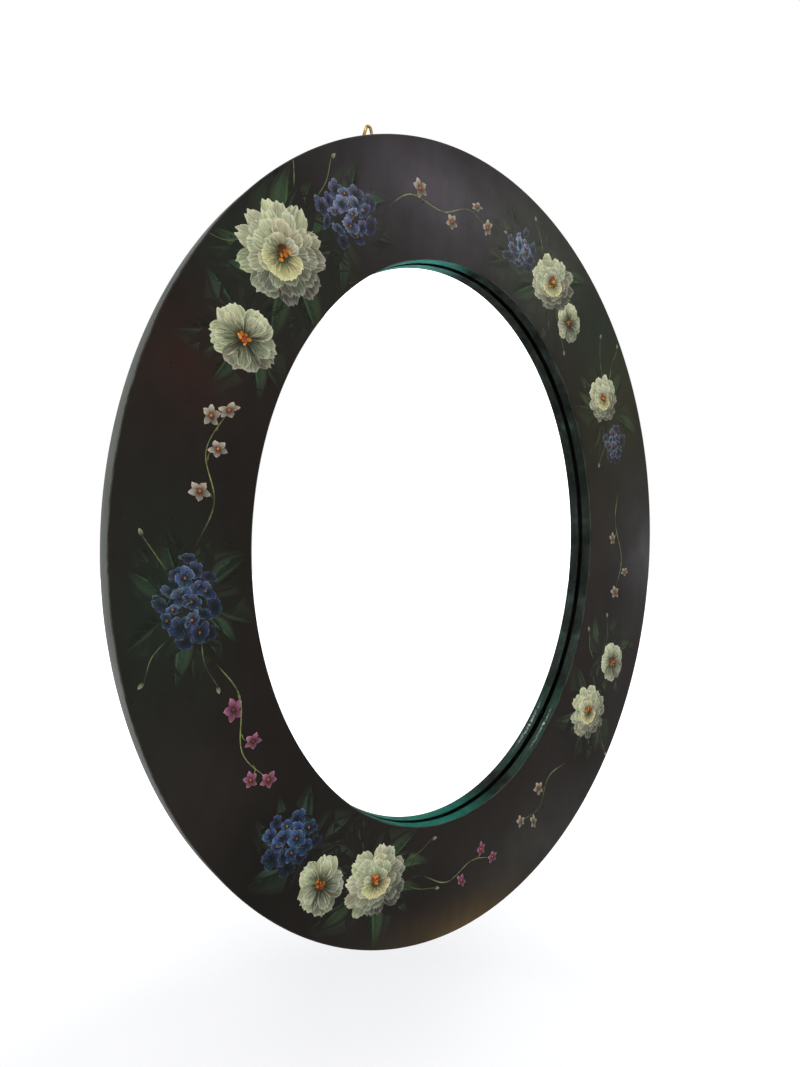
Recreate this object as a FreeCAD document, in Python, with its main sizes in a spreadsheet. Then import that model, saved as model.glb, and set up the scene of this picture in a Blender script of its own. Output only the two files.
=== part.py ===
import FreeCAD, Part
import math
import os

import Sketcher

# An oval wall mirror. A flat painted wood ring of four splined segments holds a thick
# glass mirror in a rabbet, under a card and a hardboard back that six turn buttons keep
# in. Two brass strap hangers with swinging rings stand at the top of the back.
# Millimetres. +Z is up, the painted face looks along -Y, and the origin is the middle of
# the oval on the plane of the frame's back, which is the wall side.

V = FreeCAD.Vector

# Driving dimensions: name, value in millimetres, meaning
SIZES = (
    ("oval_width", 508.0, "frame, outside, side to side"),
    ("oval_height", 610.0, "frame, outside, top to bottom"),
    ("ring_width", 88.9, "frame, from the outside to the opening"),
    ("frame_depth", 17.0, "frame, from the painted face to the back"),
    ("face_bevel", 1.0, "eased outer edge of the face"),
    ("opening_bevel", 0.5, "eased edge of the opening, on the face"),
    ("back_bevel", 0.6, "eased outer edge of the back"),
    ("rabbet_overlap", 8.0, "how far the lip reaches in front of the glass"),
    ("glass_slack", 1.5, "gap between the rabbet's wall and what lies in it"),
    ("lip_gap", 0.2, "play between the lip and the glass"),
    ("glass_thick", 4.0, "mirror glass"),
    ("glass_seam", 0.5, "ground-off edge of the glass"),
    ("coat_thick", 0.2, "silver and its paint on the back of the glass"),
    ("bond_gap", 0.03, "between the glass and its silver coat"),
    ("card_thick", 0.5, "card between the silver and the board"),
    ("board_thick", 2.5, "hardboard back"),
    ("spline_stop", 15.0, "from a loose tongue's end to the edge of the ring"),
    ("spline_span", 22.0, "loose tongue, across the joint"),
    ("spline_thick", 5.0, "loose tongue, front to back"),
    ("spline_round", 2.0, "rounding of a loose tongue's ends"),
    ("glue_gap", 0.1, "glue line round a loose tongue"),
    ("button_length", 32.0, "turn button, end to end"),
    ("button_width", 10.0, "turn button, side to side"),
    ("button_thick", 1.2, "turn button, sheet"),
    ("button_setback", 11.0, "from the rabbet's wall out to a button's screw"),
    ("button_rib", 2.4, "width of the stiffening rib pressed along a button"),
    ("button_rib_rise", 0.5, "how far that rib stands up"),
    ("running_gap", 0.1, "play under and over a turn button, and round its screw"),
    ("strap_width", 7.0, "hanger strap, side to side"),
    ("strap_length", 28.0, "hanger strap, from the ring's pin down"),
    ("strip_thick", 0.8, "brass strip that is folded into the strap"),
    ("strap_first_hole", 9.5, "from the ring's pin down to the first screw"),
    ("strap_hole_pitch", 12.0, "from the first screw to the second"),
    ("hanger_spacing", 140.0, "between the two hangers"),
    ("hanger_inset", 1.5, "from the oval's edge down to the ring's pin"),
    ("ring_wire", 2.2, "hanging ring, wire diameter"),
    ("ring_span", 10.9, "hanging ring, middle of wire to middle of wire, side to side"),
    ("ring_reach", 14.4, "hanging ring, from its pin to the middle of the wire at its tip"),
    ("ring_corner_bend", 1.5, "bend at the two lower corners, middle of the wire"),
    ("ring_tip_bend", 2.0, "bend at the tip, middle of the wire"),
    ("knuckle_gap", 0.08, "running fit of the ring's pin in the strap"),
    ("screw_length", 12.0, "wood screw, under its head"),
    ("screw_shank", 2.6, "wood screw, diameter"),
    ("screw_point", 3.0, "length of its point"),
    ("screw_point_flat", 0.4, "diameter at the very tip"),
    ("screw_head", 5.6, "pan head, diameter"),
    ("screw_head_rise", 1.7, "pan head, height"),
    ("screw_head_bevel", 0.7, "bevel round the top of the pan head"),
    ("slot_width", 0.8, "driver slot"),
    ("slot_depth", 0.8, "driver slot"),
    ("thread_gap", 0.05, "play of a screw in its pilot hole"),
    ("tip_room", 0.6, "left open under a screw's tip"),
    ("overrun", 2.0, "how far a cut runs past what it cuts"),
)

# The turn buttons in their order round the oval, evenly spread by its own angle
BUTTONS = (
    "turn_button_upper_right",
    "turn_button_top",
    "turn_button_upper_left",
    "turn_button_lower_left",
    "turn_button_bottom",
    "turn_button_lower_right",
)
HANGER_SIDES = (("left", -1), ("right", 1))

# Lengths that follow from the driving ones
BEHIND_COAT = "(Sizes.card_thick + Sizes.board_thick)"
BEHIND_GLASS = f"({BEHIND_COAT} + Sizes.coat_thick + Sizes.bond_gap)"
STACK = f"({BEHIND_GLASS} + Sizes.glass_thick + Sizes.lip_gap)"
HALF_WIDTH = "(Sizes.oval_width / 2)"
HALF_HEIGHT = "(Sizes.oval_height / 2)"
RABBET_INSET = "(Sizes.ring_width - Sizes.rabbet_overlap)"
GLASS_INSET = f"({RABBET_INSET} + Sizes.glass_slack)"
PIVOT_INSET = f"({RABBET_INSET} - Sizes.button_setback)"
STRAP_THICK = "(2 * Sizes.strip_thick)"
PIN_BORE = "(Sizes.ring_wire / 2 + Sizes.knuckle_gap)"
KNUCKLE_RADIUS = f"({PIN_BORE} + Sizes.strip_thick)"
BUTTON_SEAT = "(Sizes.button_thick + 2 * Sizes.running_gap)"
HANGER_X = "(Sizes.hanger_spacing / 2)"
PIN_Z = (
    f"({HALF_HEIGHT} * sqrt(1 - ({HANGER_X} / {HALF_WIDTH})^2) - Sizes.hanger_inset)"
)

doc = FreeCAD.newDocument("OvalMirror")
sheet = doc.addObject("Spreadsheet::Sheet", "Sizes")
for row, (alias, value, meaning) in enumerate(SIZES, start=1):
    sheet.set(f"A{row}", alias)
    sheet.set(f"B{row}", str(value))
    sheet.set(f"C{row}", meaning)
    sheet.setAlias(f"B{row}", alias)
doc.recompute()

parts = []


def size(name):
    """A driving dimension as the sheet holds it."""
    return float(sheet.get(name))


def keep(thing, label):
    """Marks a finished object as a sub-part, under the name of its file."""
    thing.Label = label
    parts.append(thing)
    return thing


def place(thing, x="0", y="0", z="0", turn="0", shift=("0", "0", "0")):
    """Turns a thing about Y and moves it. A shift is made first, in the thing's own axes."""
    thing.setExpression(
        "Placement",
        f"placement(vector({x}; {y}; {z}); rotation(vector(0; 1; 0); {turn}))"
        f" * placement(vector({shift[0]}; {shift[1]}; {shift[2]});"
        " rotation(vector(0; 1; 0); 0))",
    )


# Sketch helpers


def new_sketch(body, name, plane, offset=None):
    """An empty sketch on one of the body's own planes, moved along the plane's normal."""
    sketch = body.newObject("Sketcher::SketchObject", name)
    face = next(f for f in body.Origin.OriginFeatures if f.Role == plane)
    sketch.AttachmentSupport = [(face, "")]
    sketch.MapMode = "FlatFace"
    if offset:
        sketch.setExpression("AttachmentOffset.Base.z", offset)
    return sketch


def bind(sketch, constraint, expression):
    """Adds a constraint whose value comes from the sheet."""
    index = sketch.addConstraint(constraint)
    sketch.setExpression(f"Constraints[{index}]", expression)


def pin_point(sketch, geometry, point, across, up):
    """Ties a point to its two coordinates. A coordinate of None lies on that axis."""
    if across is None:
        sketch.addConstraint(Sketcher.Constraint("PointOnObject", geometry, point, -2))
    else:
        bind(sketch, Sketcher.Constraint("DistanceX", -1, 1, geometry, point, 1.0), across)
    if up is None:
        sketch.addConstraint(Sketcher.Constraint("PointOnObject", geometry, point, -1))
    else:
        bind(sketch, Sketcher.Constraint("DistanceY", -1, 1, geometry, point, 1.0), up)


def value_of(expression):
    """What an expression of the sheet's names comes to, as a start for the solver."""
    return 0.0 if expression is None else float(sheet.evalExpression(expression))


def outline(body, name, plane, points, offset=None):
    """A closed outline of straight lines through points given as pairs of expressions."""
    sketch = new_sketch(body, name, plane, offset)
    corners = [V(value_of(x), value_of(y), 0) for x, y in points]
    count = len(points)
    for i in range(count):
        sketch.addGeometry(Part.LineSegment(corners[i], corners[(i + 1) % count]), False)
    for i in range(count):
        sketch.addConstraint(Sketcher.Constraint("Coincident", i, 2, (i + 1) % count, 1))
    for i, (x, y) in enumerate(points):
        pin_point(sketch, i, 1, x, y)
    return sketch


def circles(body, name, plane, rounds, offset=None):
    """Circles, each as (across, up, radius)."""
    sketch = new_sketch(body, name, plane, offset)
    for x, y, radius in rounds:
        middle = V(value_of(x), value_of(y), 0)
        shape = Part.Circle(middle, V(0, 0, 1), value_of(radius))
        index = sketch.addGeometry(shape, False)
        bind(sketch, Sketcher.Constraint("Radius", index, 1.0), radius)
        pin_point(sketch, index, 3, x, y)
    return sketch


def ovals(body, name, insets, offset=None):
    """Ovals that lie an inset inside the frame's outside, on the plane of the frame."""
    sketch = new_sketch(body, name, "XZ_Plane", offset)
    for inset in insets:
        across = f"{HALF_WIDTH} - {inset}"
        up = f"{HALF_HEIGHT} - {inset}"
        tall, wide = value_of(up), value_of(across)
        top, side = V(0, tall, 0), V(wide, 0, 0)
        upright = tall > wide
        ends = (top, side) if upright else (side, top)
        index = sketch.addGeometry(Part.Ellipse(*ends, V(0, 0, 0)), False)
        sketch.exposeInternalGeometry(index)
        long_axis, short_axis = index + 1, index + 2
        across_axis = -2 if upright else -1
        top_end = (long_axis, 1) if upright else (short_axis, 1)
        side_end = (short_axis, 2) if upright else (long_axis, 1)
        sketch.addConstraint(Sketcher.Constraint("Coincident", index, 3, -1, 1))
        on_axis = Sketcher.Constraint("PointOnObject", long_axis, 1, across_axis)
        sketch.addConstraint(on_axis)
        bind(sketch, Sketcher.Constraint("DistanceY", -1, 1, *top_end, tall), up)
        bind(sketch, Sketcher.Constraint("DistanceX", -1, 1, *side_end, wide), across)
    return sketch


# Feature helpers


def pad(body, name, sketch, length, sides="One side", away=False):
    """Extrudes a sketch. On the frame's plane the plain direction is towards the face."""
    feature = body.newObject("PartDesign::Pad", name)
    feature.Profile = sketch
    feature.SideType = sides
    feature.Reversed = away
    feature.setExpression("Length", length)
    doc.recompute()
    return feature


def pocket(body, name, sketch, length, sides="One side", away=False):
    """Cuts a sketch out. On the frame's plane the plain direction is towards the wall."""
    before = body.Shape.Volume
    feature = body.newObject("PartDesign::Pocket", name)
    feature.Profile = sketch
    feature.SideType = sides
    feature.Reversed = away
    feature.setExpression("Length", length)
    doc.recompute()
    if not body.Shape.Volume < before:
        raise RuntimeError(f"{name} cuts nothing")
    return feature


def bevel(body, name, wanted, amount):
    """A chamfer on the edges of the body's tip that are wanted."""
    base = body.Tip
    edges = [
        f"Edge{i}" for i, edge in enumerate(base.Shape.Edges, start=1) if wanted(edge)
    ]
    if not edges:
        raise RuntimeError(f"{name} finds no edge")
    feature = body.newObject("PartDesign::Chamfer", name)
    feature.Base = (base, edges)
    feature.setExpression("Size", amount)
    doc.recompute()
    return feature


def near(one, other):
    """Whether two lengths are the same, within a thousandth of the frame's depth."""
    return abs(one - other) < size("frame_depth") / 1000


def flat_at(edge, y):
    """Whether an edge lies wholly at one depth."""
    box = edge.BoundBox
    return near(box.YMin, y) and near(box.YMax, y)


# Frame: one blank, cut to the four segments further down

frame_blank = doc.addObject("PartDesign::Body", "FrameBlank")
ring_outline = ovals(frame_blank, "RingOutline", ("0", "Sizes.ring_width"))
pad(frame_blank, "RingPad", ring_outline, "Sizes.frame_depth")
bevel(
    frame_blank,
    "BackBevel",
    lambda e: flat_at(e, 0) and near(e.BoundBox.XLength, size("oval_width")),
    "Sizes.back_bevel",
)
bevel(
    frame_blank,
    "FaceBevel",
    lambda e: flat_at(e, -size("frame_depth"))
    and near(e.BoundBox.XLength, size("oval_width")),
    "Sizes.face_bevel",
)
rabbet_outline = ovals(frame_blank, "RabbetOutline", (RABBET_INSET,))
pocket(frame_blank, "Rabbet", rabbet_outline, STACK, away=True)

# The opening's edge is eased by a cut that narrows from in front of the face to behind it
bevel_mouth = ovals(
    frame_blank,
    "BevelMouth",
    ("(Sizes.ring_width - Sizes.opening_bevel - Sizes.overrun)",),
    "Sizes.frame_depth + Sizes.overrun",
)
bevel_throat = ovals(
    frame_blank,
    "BevelThroat",
    ("(Sizes.ring_width + Sizes.overrun)",),
    "Sizes.frame_depth - Sizes.opening_bevel - Sizes.overrun",
)
opening_bevel = frame_blank.newObject("PartDesign::SubtractiveLoft", "OpeningBevel")
opening_bevel.Profile = bevel_mouth
opening_bevel.Sections = [bevel_throat]
opening_bevel.Ruled = True


# Loose tongues and their slots, on the joints at the quarter points of the oval

TONGUE_LENGTH = "(Sizes.ring_width - 2 * Sizes.spline_stop)"
MID_RING = "Sizes.ring_width / 2"


def tongue(name, sign_x, sign_z, room):
    """A flat tongue with rounded ends across the joint's line, larger all round by room."""
    box = doc.addObject("Part::Box", name + "Blank")
    box.setExpression("Length", f"{TONGUE_LENGTH} + 2 * {room}")
    box.setExpression("Width", f"Sizes.spline_thick + 2 * {room}")
    box.setExpression("Height", f"Sizes.spline_span + 2 * {room}")
    doc.recompute()
    rounded = doc.addObject("Part::Fillet", name)
    rounded.Base = box
    radius = size("spline_round")
    rounded.Edges = [
        (i, radius, radius)
        for i, edge in enumerate(box.Shape.Edges, start=1)
        if near(edge.BoundBox.ZLength, box.Height.Value)
    ]
    place(
        rounded,
        f"{sign_x} * ({HALF_WIDTH} - {MID_RING}) * cos(45)",
        "-Sizes.frame_depth / 2",
        f"{sign_z} * ({HALF_HEIGHT} - {MID_RING}) * cos(45)",
        f"{-45 * sign_x * sign_z}",
        (
            f"-({TONGUE_LENGTH} / 2 + {room})",
            f"-(Sizes.spline_thick / 2 + {room})",
            f"-(Sizes.spline_span / 2 + {room})",
        ),
    )
    return rounded


tongues, cuts = [], []
for corner, (sign_x, sign_z) in enumerate(((1, 1), (-1, 1), (-1, -1), (1, -1)), start=1):
    tongues.append(tongue(f"Tongue{corner}", sign_x, sign_z, "0"))
    cuts.append(tongue(f"Slot{corner}", sign_x, sign_z, "Sizes.glue_gap"))
joint_splines = keep(doc.addObject("Part::Compound", "JointSplines"), "joint_splines")
joint_splines.Links = tongues


# Screws and their pilot holes


def wood_screw(name, x, seat, z, turn="0"):
    """A pan-head wood screw along Y whose head sits at a height over the frame's back."""
    body = doc.addObject("PartDesign::Body", name)
    shank, head, tip = (
        f"Sizes.{part} / 2" for part in ("screw_shank", "screw_head", "screw_point_flat")
    )
    profile = outline(
        body,
        name + "Profile",
        "XY_Plane",
        (
            (None, "-Sizes.screw_length"),
            (tip, "-Sizes.screw_length"),
            (shank, "Sizes.screw_point - Sizes.screw_length"),
            (shank, None),
            (head, None),
            (head, "Sizes.screw_head_rise - Sizes.screw_head_bevel"),
            (f"{head} - Sizes.screw_head_bevel", "Sizes.screw_head_rise"),
            (None, "Sizes.screw_head_rise"),
        ),
    )
    turned = body.newObject("PartDesign::Revolution", name + "Turned")
    turned.Profile = profile
    turned.ReferenceAxis = (profile, ["V_Axis"])
    doc.recompute()
    slot = outline(
        body,
        name + "SlotOutline",
        "XZ_Plane",
        tuple(
            (
                f"{across} * (Sizes.screw_head / 2 + Sizes.overrun)",
                f"{up} * Sizes.slot_width / 2",
            )
            for across, up in ((-1, -1), (1, -1), (1, 1), (-1, 1))
        ),
        "Sizes.slot_depth - Sizes.screw_head_rise",
    )
    pocket(body, name + "Slot", slot, "Sizes.slot_depth + Sizes.overrun")
    place(body, x, seat, z, turn)
    return body


def pilot(name, x, seat, z):
    """The blind hole in the frame that a screw goes into."""
    hole = doc.addObject("Part::Cylinder", name)
    hole.setExpression("Radius", "Sizes.screw_shank / 2 + Sizes.thread_gap")
    hole.setExpression("Height", f"Sizes.screw_length - {seat} + Sizes.tip_room")
    hole.setExpression(
        "Placement",
        f"placement(vector({x}; 0; {z}); rotation(vector(1; 0; 0); 90))",
    )
    return hole


# Turn buttons


def turn_button(name, label, x, z, turn):
    """A sheet-metal button with round ends, a pressed rib and a hole on its screw."""
    body = doc.addObject("PartDesign::Body", name)
    half = "Sizes.button_width / 2"
    reach = "(Sizes.button_length - Sizes.button_width)"
    plate = outline(
        body,
        name + "Plate",
        "XZ_Plane",
        ((None, f"-{half}"), (reach, f"-{half}"), (reach, half), (None, half)),
        "-Sizes.running_gap",
    )
    pad(body, name + "Sheet", plate, "Sizes.button_thick", away=True)
    for end, across in (("Near", None), ("Far", reach)):
        disc = circles(
            body,
            f"{name}{end}Round",
            "XZ_Plane",
            ((across, None, half),),
            "-Sizes.running_gap",
        )
        pad(body, f"{name}{end}End", disc, "Sizes.button_thick", away=True)
    rib = outline(
        body,
        name + "RibOutline",
        "XZ_Plane",
        tuple(
            (across, f"{up} * Sizes.button_rib / 2")
            for across, up in ((half, -1), (reach, -1), (reach, 1), (half, 1))
        ),
        "-Sizes.running_gap - Sizes.button_thick",
    )
    pad(body, name + "Rib", rib, "Sizes.button_rib_rise", away=True)
    hole = circles(
        body,
        name + "HoleOutline",
        "XZ_Plane",
        ((None, None, "Sizes.screw_shank / 2 + Sizes.running_gap"),),
    )
    pocket(
        body,
        name + "Hole",
        hole,
        "2 * (Sizes.button_thick + Sizes.overrun)",
        sides="Symmetric",
    )
    place(body, x, "0", z, turn)
    return keep(body, label)


button_screws = []
for number, label in enumerate(BUTTONS, start=1):
    angle = f"(({number} - 1 / 2) * 360 / {len(BUTTONS)})"
    pivot_x = f"({HALF_WIDTH} - {PIVOT_INSET}) * cos({angle})"
    pivot_z = f"({HALF_HEIGHT} - {PIVOT_INSET}) * sin({angle})"
    inward = (
        f"atan2(sin({angle}) / ({HALF_HEIGHT} - {PIVOT_INSET});"
        f" -cos({angle}) / ({HALF_WIDTH} - {PIVOT_INSET}))"
    )
    turn_button(f"Button{number}", label, pivot_x, pivot_z, inward)
    screw = wood_screw(f"ButtonScrew{number}", pivot_x, BUTTON_SEAT, pivot_z, inward)
    button_screws.append(screw)
    cuts.append(pilot(f"ButtonPilot{number}", pivot_x, BUTTON_SEAT, pivot_z))
turn_button_screws = doc.addObject("Part::Compound", "TurnButtonScrews")
turn_button_screws.Links = button_screws
keep(turn_button_screws, "turn_button_screws")


# Hangers: a folded strap with a knuckle, and the ring that swings in it


def hanger_strap(name, label, x):
    """A doubled brass strip with a round lower end, a knuckle and two screw holes."""
    body = doc.addObject("PartDesign::Body", name)
    half = "Sizes.strap_width / 2"
    low = "(Sizes.strap_length - Sizes.strap_width / 2)"
    plate = outline(
        body,
        name + "Plate",
        "XZ_Plane",
        ((f"-{half}", f"-{low}"), (half, f"-{low}"), (half, None), (f"-{half}", None)),
    )
    pad(body, name + "Strip", plate, STRAP_THICK, away=True)
    foot = circles(body, name + "FootOutline", "XZ_Plane", ((None, f"-{low}", half),))
    pad(body, name + "Foot", foot, STRAP_THICK, away=True)
    knuckle = circles(
        body,
        name + "KnuckleOutline",
        "YZ_Plane",
        ((KNUCKLE_RADIUS, None, KNUCKLE_RADIUS),),
    )
    pad(body, name + "Knuckle", knuckle, "Sizes.strap_width", sides="Symmetric")
    bore = circles(
        body, name + "BoreOutline", "YZ_Plane", ((KNUCKLE_RADIUS, None, PIN_BORE),)
    )
    pocket(
        body,
        name + "Bore",
        bore,
        "Sizes.strap_width + 2 * Sizes.overrun",
        sides="Symmetric",
    )
    second_hole = "(Sizes.strap_first_hole + Sizes.strap_hole_pitch)"
    holes = circles(
        body,
        name + "HoleOutlines",
        "XZ_Plane",
        tuple(
            (None, f"-{down}", "Sizes.screw_shank / 2 + Sizes.running_gap")
            for down in ("Sizes.strap_first_hole", second_hole)
        ),
    )
    pocket(
        body,
        name + "Holes",
        holes,
        f"2 * ({STRAP_THICK} + Sizes.overrun)",
        sides="Symmetric",
    )
    place(body, x, "0", PIN_Z)
    return keep(body, label)


def hanger_ring(name, label, x):
    """A ring of round wire bent to a narrow triangle. Its base is the pin of the knuckle."""
    body = doc.addObject("PartDesign::Body", name)
    path = new_sketch(body, name + "Path", "XZ_Plane")
    corner, tip = size("ring_corner_bend"), size("ring_tip_bend")
    side = size("ring_span") / 2 - corner
    top = size("ring_reach") - tip
    lean = math.atan2(side, top - corner) + math.asin(
        (corner - tip) / math.hypot(side, top - corner)
    )
    outward = V(math.cos(lean), math.sin(lean), 0)
    mirrored = V(-outward.x, outward.y, 0)
    right, left, apex = V(side, corner, 0), V(-side, corner, 0), V(0, top, 0)
    up = V(0, 0, 1)
    bends = (
        Part.ArcOfCircle(Part.Circle(right, up, corner), -math.pi / 2, lean),
        Part.ArcOfCircle(Part.Circle(apex, up, tip), lean, math.pi - lean),
        Part.ArcOfCircle(Part.Circle(left, up, corner), math.pi - lean, 3 * math.pi / 2),
    )
    lines = (
        Part.LineSegment(V(0, 0, 0), V(side, 0, 0)),
        Part.LineSegment(right + outward * corner, apex + outward * tip),
        Part.LineSegment(apex + mirrored * tip, left + mirrored * corner),
        Part.LineSegment(V(-side, 0, 0), V(0, 0, 0)),
    )
    pieces = (lines[0], bends[0], lines[1], bends[1], lines[2], bends[2], lines[3])
    for piece in pieces:
        path.addGeometry(piece, False)
    last = len(pieces) - 1
    for i in range(last):
        path.addConstraint(Sketcher.Constraint("Tangent", i, 2, i + 1, 1))
    pin_point(path, 0, 1, None, None)
    pin_point(path, last, 2, None, None)
    path.addConstraint(Sketcher.Constraint("Horizontal", 0))
    path.addConstraint(Sketcher.Constraint("Horizontal", last))
    bind(path, Sketcher.Constraint("Radius", 1, corner), "Sizes.ring_corner_bend")
    path.addConstraint(Sketcher.Constraint("Equal", 1, 5))
    bind(path, Sketcher.Constraint("Radius", 3, tip), "Sizes.ring_tip_bend")
    for bend, sign in ((1, 1), (5, -1)):
        middle = Sketcher.Constraint("DistanceX", -1, 1, bend, 3, sign * side)
        bind(path, middle, f"{sign} * (Sizes.ring_span / 2 - Sizes.ring_corner_bend)")
    pin_point(path, 3, 3, None, "Sizes.ring_reach - Sizes.ring_tip_bend")
    section = circles(
        body, name + "Section", "YZ_Plane", ((None, None, "Sizes.ring_wire / 2"),)
    )
    doc.recompute()
    wire = body.newObject("PartDesign::AdditivePipe", name + "Wire")
    wire.Profile = section
    wire.Spine = (path, [])
    doc.recompute()
    place(body, x, KNUCKLE_RADIUS, PIN_Z)
    return keep(body, label)


strap_screws = []
for side_name, sign in HANGER_SIDES:
    title = side_name.title()
    x = f"{sign} * {HANGER_X}"
    hanger_strap(f"Strap{title}", f"hanger_strap_{side_name}", x)
    hanger_ring(f"Ring{title}", f"hanger_ring_{side_name}", x)
    for number in (0, 1):
        z = f"({PIN_Z} - Sizes.strap_first_hole - {number} * Sizes.strap_hole_pitch)"
        screw = wood_screw(f"StrapScrew{title}{number}", x, STRAP_THICK, z, f"{35 * sign}")
        strap_screws.append(screw)
        cuts.append(pilot(f"StrapPilot{title}{number}", x, STRAP_THICK, z))
hanger_screws = doc.addObject("Part::Compound", "HangerScrews")
hanger_screws.Links = strap_screws
keep(hanger_screws, "hanger_screws")


# Frame segments: the blank less its slots and pilot holes, parted at 45 degrees

all_cuts = doc.addObject("Part::Compound", "AllCuts")
all_cuts.Links = cuts
drilled = doc.addObject("Part::Cut", "DrilledBlank")
drilled.Base = frame_blank
drilled.Tool = all_cuts

JOINT_OFFSET = f"({HALF_HEIGHT} - {HALF_WIDTH}) * cos(45)"
SEGMENTS = (
    ("frame_top", -45, "0", JOINT_OFFSET),
    ("frame_right", 45, f"-{JOINT_OFFSET}", "0"),
    ("frame_bottom", 135, "0", f"-{JOINT_OFFSET}"),
    ("frame_left", 225, JOINT_OFFSET, "0"),
)
for label, turn, x, z in SEGMENTS:
    quadrant = doc.addObject("Part::Box", label.title().replace("_", "") + "Quadrant")
    for side in ("Length", "Height"):
        quadrant.setExpression(side, "Sizes.oval_width + Sizes.oval_height")
    quadrant.setExpression("Width", "Sizes.frame_depth + 2 * Sizes.overrun")
    place(quadrant, x, "-Sizes.frame_depth - Sizes.overrun", z, str(turn))
    segment = doc.addObject("Part::Common", label.title().replace("_", ""))
    segment.Base = drilled
    segment.Tool = quadrant
    keep(segment, label)


# What lies in the rabbet, from the lip back: glass, silver, card and board


def oval_plate(name, label, thickness, behind):
    """A flat oval that fills the rabbet, with so much lying behind it."""
    body = doc.addObject("PartDesign::Body", name)
    shape = ovals(body, name + "Outline", (GLASS_INSET,), behind)
    pad(body, name + "Plate", shape, thickness)
    return keep(body, label)


glass = oval_plate("MirrorGlass", "mirror_glass", "Sizes.glass_thick", BEHIND_GLASS)
bevel(
    glass,
    "GlassSeams",
    lambda e: near(e.BoundBox.YLength, 0) and e.Length > size("oval_width") / 2,
    "Sizes.glass_seam",
)
oval_plate("SilverCoat", "silver_coat", "Sizes.coat_thick", BEHIND_COAT)
oval_plate("BackingCard", "backing_card", "Sizes.card_thick", "Sizes.board_thick")
oval_plate("BackingBoard", "backing_board", "Sizes.board_thick", None)


# Checks, then the files

doc.recompute()
for thing in doc.Objects:
    if "Invalid" in thing.State or "Error" in thing.State:
        raise RuntimeError(f"{thing.Label} failed: {thing.State}")
for part in parts:
    if part.Shape.isNull() or not part.Shape.isValid():
        raise RuntimeError(f"{part.Label} has no valid shape")
os.makedirs("parts", exist_ok=True)
for part in parts:
    part.Shape.exportStep(f"parts/{part.Label}.step")
    print(part.Label, len(part.Shape.Solids), round(part.Shape.Volume, 1))
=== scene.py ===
import math

import bpy
import numpy as np
from mathutils import Matrix, Vector


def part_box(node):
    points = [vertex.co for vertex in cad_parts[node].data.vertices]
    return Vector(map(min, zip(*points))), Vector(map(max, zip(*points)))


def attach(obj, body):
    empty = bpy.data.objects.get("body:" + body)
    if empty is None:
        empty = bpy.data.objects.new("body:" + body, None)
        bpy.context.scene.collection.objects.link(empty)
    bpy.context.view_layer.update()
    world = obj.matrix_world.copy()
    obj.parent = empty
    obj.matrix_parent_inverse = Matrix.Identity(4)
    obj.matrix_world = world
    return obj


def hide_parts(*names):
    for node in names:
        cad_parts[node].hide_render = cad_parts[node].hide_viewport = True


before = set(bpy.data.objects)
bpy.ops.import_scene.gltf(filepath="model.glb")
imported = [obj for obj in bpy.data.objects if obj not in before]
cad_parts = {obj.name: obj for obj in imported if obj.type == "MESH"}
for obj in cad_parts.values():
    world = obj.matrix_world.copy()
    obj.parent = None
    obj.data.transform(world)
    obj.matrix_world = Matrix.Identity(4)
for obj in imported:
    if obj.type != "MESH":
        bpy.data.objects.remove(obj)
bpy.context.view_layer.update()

# An oval wall mirror in a flat painted wood ring. Metres; the face looks along -Y.

MM = 0.001
HALF_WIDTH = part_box("frame_right")[1].x
HALF_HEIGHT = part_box("frame_top")[1].z
FACE_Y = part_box("frame_top")[0].y
# The ring's breadth and thickness, the rabbet's inset and the lip over the glass, in mm
RING = 88.9
THICK = 17.0
RABBET = 80.9
LIP = 7.43
# Where on an axis the planes that part the segments meet
PARTING = 36.06 * MM
MIRROR_BODY = "mirror"


# Small tools


def deselect():
    """Leaves edit mode and lets go of everything."""
    if bpy.context.object and bpy.context.object.mode != "OBJECT":
        bpy.ops.object.mode_set(mode="OBJECT")
    bpy.ops.object.select_all(action="DESELECT")


def hold(thing):
    """Makes one object the only selected and active one."""
    deselect()
    thing.select_set(True)
    bpy.context.view_layer.objects.active = thing


def paint(code):
    """An sRGB hex colour as the linear one that Blender works in."""
    channels = [int(code[i : i + 2], 16) / 255 for i in (1, 3, 5)]
    linear = [c / 12.92 if c <= 0.04045 else ((c + 0.055) / 1.055) ** 2.4 for c in channels]
    return (*linear, 1)


def add(tree, kind, inputs=None, stops=None, **settings):
    """Adds a node with its settings, its inputs and a ramp's stops.

    An input that is a socket is linked, and so is a node, by its first output in use.
    Anything else is set. Text is a hex colour, and a stop's plain number is a grey. A
    Mix node mixes the colours of its inputs 6 and 7.
    """
    made = tree.nodes.new(kind if kind == "NodeGroupOutput" else "ShaderNode" + kind)
    if kind == "Mix":
        made.data_type = "RGBA"
    for name, value in settings.items():
        setattr(made, name, value)
    for name, value in (inputs or {}).items():
        if isinstance(value, bpy.types.Node):
            value = next(out for out in value.outputs if out.enabled)
        if isinstance(value, bpy.types.NodeSocket):
            tree.links.new(value, made.inputs[name])
        else:
            made.inputs[name].default_value = paint(value) if isinstance(value, str) else value
    if stops:
        elements = made.color_ramp.elements
        while len(elements) < len(stops):
            elements.new(0.5)
        for element, (spot, colour) in zip(elements, stops):
            element.position = spot
            element.color = paint(colour) if isinstance(colour, str) else (*[colour] * 3, 1)
    return made


def begin(name):
    """An empty material and its node tree."""
    made = bpy.data.materials.new(name)
    made.use_nodes = True
    made.node_tree.nodes.clear()
    return made, made.node_tree


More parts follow.
